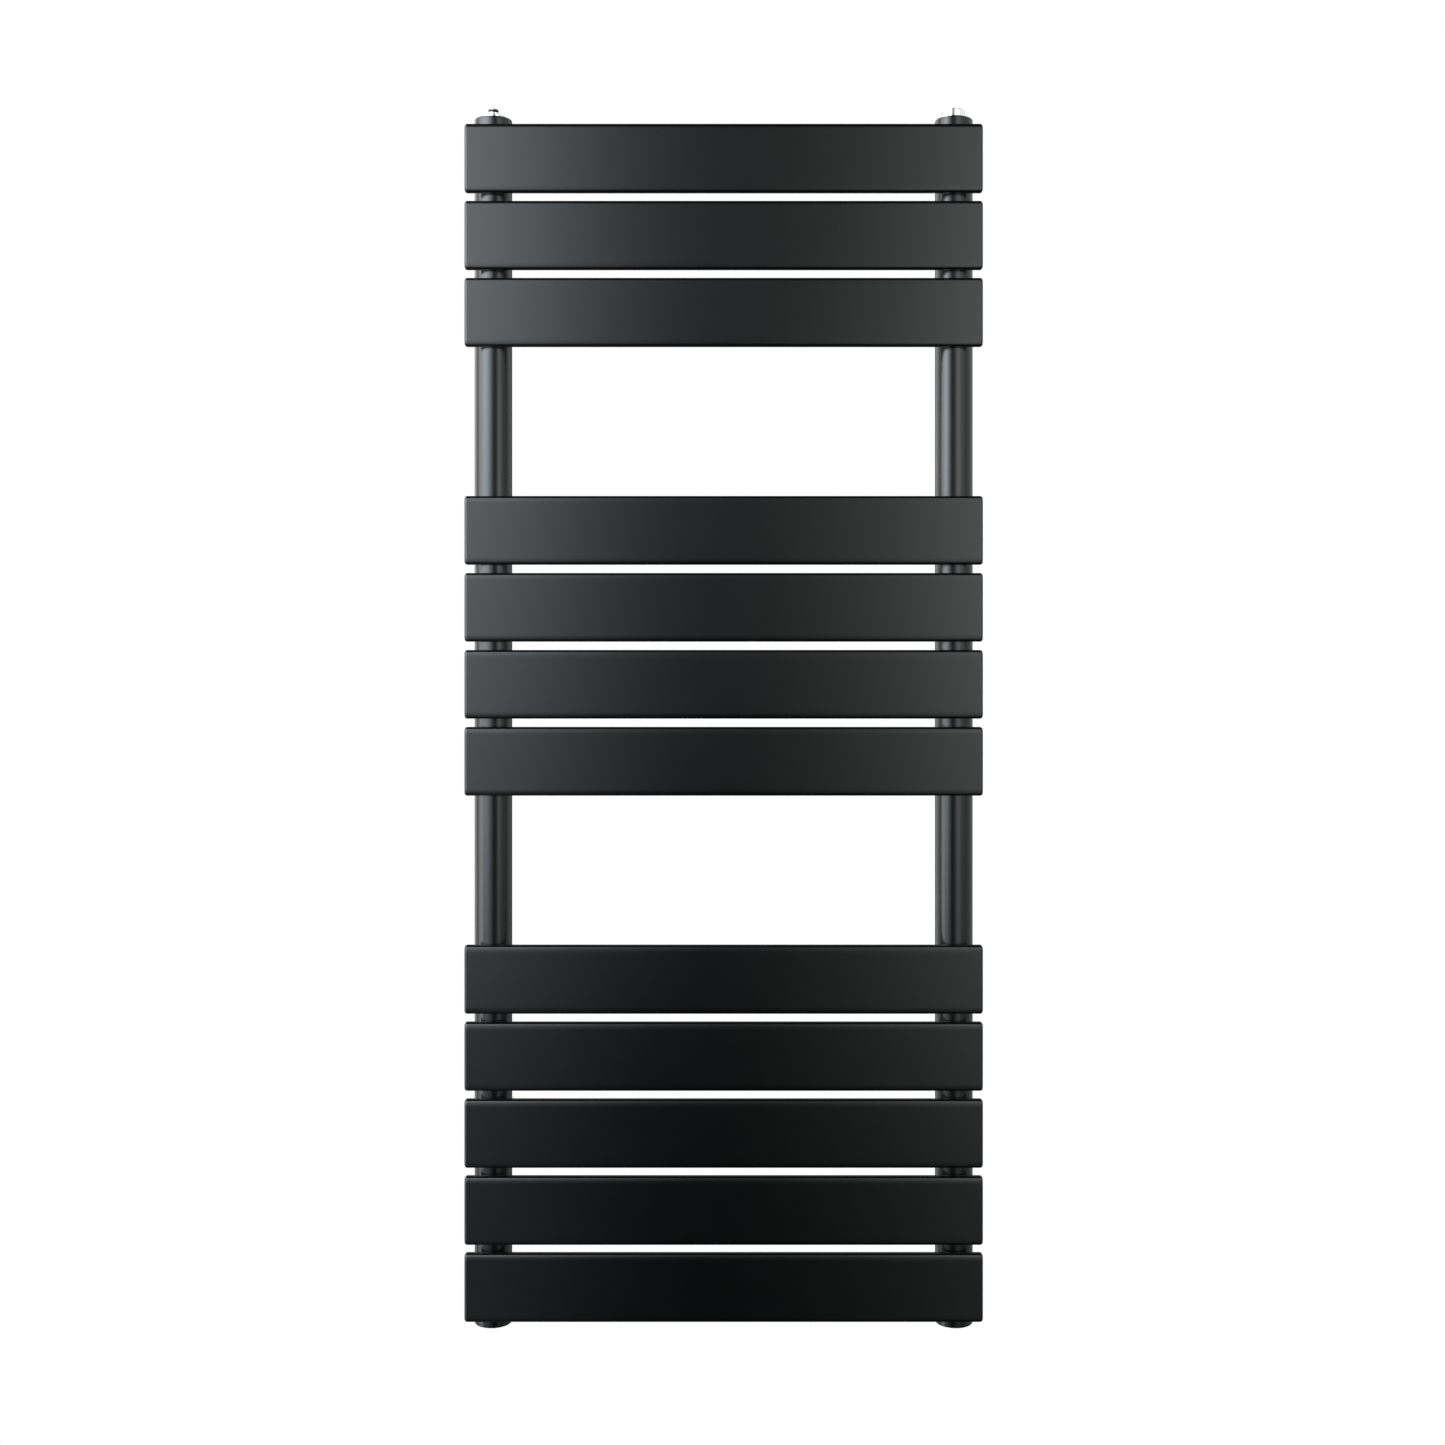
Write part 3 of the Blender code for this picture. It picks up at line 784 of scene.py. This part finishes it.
def vent_body():
    body_low, body_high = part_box("air_vent_body")
    flange_radius = (body_high.x - body_low.x) / 2
    flange_top, top = SEAT + VENT_FLANGE, body_high.z - rail_top
    bore = PIN_RADIUS + PIN_PLAY
    outline = [
        (bore + FINE_EDGE, top),
        *arc((VENT_SHOULDER_RADIUS - FINE_EDGE, top - FINE_EDGE), FINE_EDGE, 90, 0, 4),
        *arc(
            (VENT_SHOULDER_RADIUS + VENT_FILLET, flange_top + VENT_FILLET), VENT_FILLET, 180, 270, 6
        ),
        *arc((flange_radius - 2 * FINE_EDGE, flange_top - 2 * FINE_EDGE), 2 * FINE_EDGE, 90, 0, 6),
        *arc((flange_radius - FINE_EDGE, SEAT + FINE_EDGE), FINE_EDGE, 0, -90, 3),
        *thread_rings(-THREAD_LENGTH),
        (bore, -THREAD_LENGTH),
        (bore, top - FINE_EDGE),
    ]
    return turned(outline, closed=True)


def vent_spout():
    """The spout: a ring with a fluted grip and one outlet through its wall."""
    spout_low, spout_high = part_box("air_vent_spout")
    bottom, top = spout_low.z - rail_top, spout_high.z - rail_top
    bevel_width = 0.0004

    def fluted(angle):
        return SPOUT_RADIUS - GRIP_DEPTH * (0.5 - 0.5 * math.cos(GRIP_RIDGES * angle))

    outline = [
        (SPOUT_BORE_RADIUS + FINE_EDGE, top),
        *arc((SPOUT_RADIUS - bevel_width, top - bevel_width), bevel_width, 90, 20, 4),
        (fluted, top - bevel_width * 1.5),
        (fluted, bottom + bevel_width),
        (SPOUT_RADIUS - bevel_width, bottom),
        (SPOUT_BORE_RADIUS, bottom),
        (SPOUT_BORE_RADIUS, top - FINE_EDGE),
    ]
    outlet = turned([(OUTLET_RADIUS, 0), (OUTLET_RADIUS, 2 * SPOUT_RADIUS)], 24)
    aim = Matrix.Rotation(math.radians(OUTLET_ANGLE), 4, "Z") @ Matrix.Rotation(math.pi / 2, 4, "X")
    outlet.transform(Matrix.Translation((0, 0, (bottom + top) / 2)) @ aim)
    return cut(turned(outline, 144, closed=True), outlet)


def vent_pin():
    pin_low, pin_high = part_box("air_vent_pin")
    bottom, top = pin_low.z - rail_top, pin_high.z - rail_top
    edge = FINE_EDGE / 2
    outline = [
        (PIN_HEAD_RADIUS * 0.5, top),
        *arc((PIN_HEAD_RADIUS - FINE_EDGE, top - FINE_EDGE), FINE_EDGE, 90, 0, 4),
        (PIN_HEAD_RADIUS, top - PIN_HEAD + edge),
        (PIN_HEAD_RADIUS - edge, top - PIN_HEAD),
        (PIN_RADIUS, top - PIN_HEAD),
        (PIN_RADIUS, bottom + PIN_RADIUS),
        (PIN_RADIUS * 0.1, bottom),
    ]
    slot = bmesh.new()
    width, depth = PIN_SLOT
    slot_size = Matrix.Diagonal((3 * PIN_HEAD_RADIUS, width, 2 * depth, 1))
    bmesh.ops.create_cube(slot, matrix=Matrix.Translation((0, 0, top)) @ slot_size)
    return cut(turned(outline, 64), slot)


vent_spot = Matrix.Translation((side_x["left"], axis_y, rail_top))
plastic = moulded_plastic()
for node, make, material, body, slot in (
    ("air_vent_body", vent_body, chrome, "rail", "chrome"),
    ("air_vent_spout", vent_spout, plastic, "vent_spout", "black_plastic"),
    ("air_vent_pin", vent_pin, chrome, "bleed_pin", "chrome"),
):
    shape = make()
    shape.transform(vent_spot)
    piece(f"{node}_finished", shape, material, body, node)

# --- Wall brackets --------------------------------------------------------------------------------
# Four telescopic brackets. A chromium plated sleeve is screwed to the wall inside a domed rosette, a
# zinc plated spindle slides in it, and a grub screw from below locks it. The spindle is screwed into
# a boss that is welded to the back of the collector and coated with it.
SLEEVE_BASE = 0.005
SLEEVE_SCREW_RADIUS = 0.00275
COUNTERSINK = 0.0022
SPINDLE_RADIUS = 0.006
SPINDLE_THREAD_RADIUS = 0.004
SPINDLE_PITCH = 0.00125
SCREW_THREAD_SHARE = 0.14  # a screw thread's depth over its outer radius
BOSS_LENGTH = 0.009
BOSS_RADIUS = 0.008
BOSS_WELD_RADIUS = 0.0012
SADDLE_PLAY = 0.0001
GRUB_RADIUS = 0.0022
GRUB_PITCH = 0.0008
GRUB_POINT = 0.0006  # how long its cone point is
GRUB_POINT_RADIUS = 0.00099
GRUB_SOCKET = (0.0025, 0.0016)  # across the flats, and depth
ROSETTE_PLAY = 0.0003
SLIDE_PLAY = 0.0003

out_of_wall = Matrix.Rotation(math.pi / 2, 4, "X")


def zinc_plate():
    """Bright zinc plate on turned steel: bluish, with fine turning marks round the rod."""
    zinc = Finish("zinc_plated_steel", metallic=1.0, stretch=(1, 30, 1))
    zinc.colour(60.0, (0.50, 0.52, 0.56), (0.66, 0.67, 0.69))
    zinc.gloss(90.0, 0.26, 0.40)
    zinc.bumps(130.0, 0.00003, 0.25, 2.0)
    return zinc.material


def sleeve(length, radius):
    """A sleeve about Z, with its wall end at height zero and a countersunk screw hole in its base; the
    hole for the grub screw is cut by the caller.
    """
    bore = SPINDLE_RADIUS + SLIDE_PLAY
    edge = 0.0008
    outline = [
        (bore + FINE_EDGE, length),
        *arc((radius - edge, length - edge), edge, 90, 0, 6),
        (radius, 0),
        (SLEEVE_SCREW_RADIUS, 0),
        (SLEEVE_SCREW_RADIUS, SLEEVE_BASE - COUNTERSINK),
        (SLEEVE_SCREW_RADIUS + COUNTERSINK, SLEEVE_BASE),
        (bore, SLEEVE_BASE),
        (bore, length - FINE_EDGE),
    ]
    return turned(outline, closed=True)


def rosette(inner, outer, depth):
    """A domed trim ring round the sleeve, thin at its rim and rolled in at the sleeve."""
    roll = 0.0008
    fall = depth - roll - FINE_EDGE
    outline = [(outer, 0), (outer, FINE_EDGE)]
    steps = 12
    for step in range(steps + 1):
        share = step / steps
        reach = outer - (outer - inner - roll) * share
        outline.append((reach, FINE_EDGE + (fall + roll) * math.sin(math.pi / 2 * share) ** 0.8))
    outline += arc((inner + roll, depth - roll), roll, 90, 180, 4)[1:]
    outline.append((inner, 0))
    return turned(outline, closed=True)


def spindle(end, boss_face, tip):
    """The rod from its end in the sleeve to its thread in the boss."""
    edge = 0.0008
    outline = [
        (SPINDLE_RADIUS - edge, end),
        (SPINDLE_RADIUS, end + edge),
        (SPINDLE_RADIUS, boss_face - FINE_EDGE),
        (SPINDLE_RADIUS - FINE_EDGE, boss_face),
    ]
    depth = SPINDLE_THREAD_RADIUS * SCREW_THREAD_SHARE
    root = SPINDLE_THREAD_RADIUS - depth
    outline += reversed(screw_thread(root, depth, SPINDLE_PITCH, tip, boss_face))
    return turned(outline, 64)


def grub_screw(length):
    """A short set screw about Z from its point at zero, with a hexagon socket in its head."""
    depth = GRUB_RADIUS * SCREW_THREAD_SHARE
    outline = screw_thread(GRUB_RADIUS - depth, depth, GRUB_PITCH, length, GRUB_POINT)
    outline.append((GRUB_POINT_RADIUS, 0))
    flats, socket_depth = GRUB_SOCKET
    return cut(turned(outline, 48), hexagon(flats, length - socket_depth, length + 0.001, 0.0003))


def boss():
    """A boss about Z, whose zero is the tube's axis, saddled onto the tube and drilled through."""
    face = tube_radius + BOSS_LENGTH
    edge = 0.0005
    thread = SPINDLE_THREAD_RADIUS + SLIDE_PLAY
    outline = [
        (thread + FINE_EDGE, face),
        *arc((BOSS_RADIUS - edge, face - edge), edge, 90, 0, 4),
        (BOSS_RADIUS, tube_radius / 2),
        (thread, tube_radius / 2),
        (thread, face - FINE_EDGE),
    ]
    saddle_radius = tube_radius + SADDLE_PLAY
    reach = 2 * BOSS_RADIUS
    saddle = turned([(saddle_radius, -reach), (saddle_radius, reach)], TUBE_SEGMENTS)
    saddle.transform(Matrix.Rotation(math.pi / 2, 4, "X"))
    return cut(turned(outline, 64, closed=True), saddle)


def boss_weld(x, z):
    """The weld round the boss where it meets the tube."""
    steps = round(2 * math.pi * BOSS_RADIUS / RIPPLE_PITCH) * RIPPLE_STEPS
    path = []
    for step in range(steps):
        angle = 2 * math.pi * step / steps
        across = BOSS_RADIUS * math.cos(angle)
        out = math.sqrt(tube_radius**2 - across**2)
        path.append(Vector((x + across, axis_y + out, z + BOSS_RADIUS * math.sin(angle))))
    bm = bmesh.new()
    weld_run(bm, path, BOSS_WELD_RADIUS, closed=True)
    return bm


def make_bracket(spot, x):
    sleeve_low, sleeve_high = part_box(f"wall_sleeve_{spot}")
    z = (sleeve_low.z + sleeve_high.z) / 2
    sleeve_length = sleeve_high.y - sleeve_low.y
    sleeve_radius = (sleeve_high.x - sleeve_low.x) / 2
    on_wall = Matrix.Translation((x, 0, z)) @ out_of_wall
    grub_low, grub_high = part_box(f"grub_screw_{spot}")
    grub_y = (grub_low.y + grub_high.y) / 2

    tube = sleeve(sleeve_length, sleeve_radius)
    tube.transform(on_wall)
    hole_radius = GRUB_RADIUS + SLIDE_PLAY
    hole = turned([(hole_radius, z), (hole_radius, z - 2 * sleeve_radius)], 48)
    hole.transform(Matrix.Translation((x, grub_y, 0)))
    piece(f"wall_sleeve_{spot}_plated", cut(tube, hole), chrome, "wall_brackets",
          f"wall_sleeve_{spot}")

    screw = grub_screw(grub_high.z - grub_low.z)
    screw.transform(Matrix.Translation((x, grub_y, grub_high.z)) @ upside_down)
    piece(f"grub_screw_{spot}_cut", screw, zinc, "wall_brackets",
          f"grub_screw_{spot}")

    trim_low, trim_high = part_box(f"rosette_{spot}")
    trim_radius, trim_depth = (trim_high.x - trim_low.x) / 2, trim_high.y - trim_low.y
    trim = rosette(sleeve_radius + ROSETTE_PLAY, trim_radius, trim_depth)
    trim.transform(on_wall)
    piece(f"rosette_{spot}_plated", trim, chrome, "wall_brackets", f"rosette_{spot}")

    rod_low, rod_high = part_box(f"spindle_{spot}")
    boss_face = -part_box(f"bracket_boss_{spot}")[1].y
    rod = spindle(-rod_high.y, boss_face - SLIDE_PLAY, -rod_low.y)
    rod.transform(on_wall)
    piece(f"spindle_{spot}_turned", rod, zinc, "rail", f"spindle_{spot}")

    stud = boss()
    towards_wall = Matrix.Rotation(-math.pi / 2, 4, "X")
    stud.transform(Matrix.Translation((x, axis_y, z)) @ towards_wall)
    piece(f"bracket_boss_{spot}_coated", stud, black, "rail", f"bracket_boss_{spot}")
    piece(f"bracket_boss_{spot}_weld", boss_weld(x, z), black, "rail", None, 60)


zinc = zinc_plate()
for side, x in side_x.items():
    for level in ("upper", "lower"):
        make_bracket(f"{level}_{side}", x)
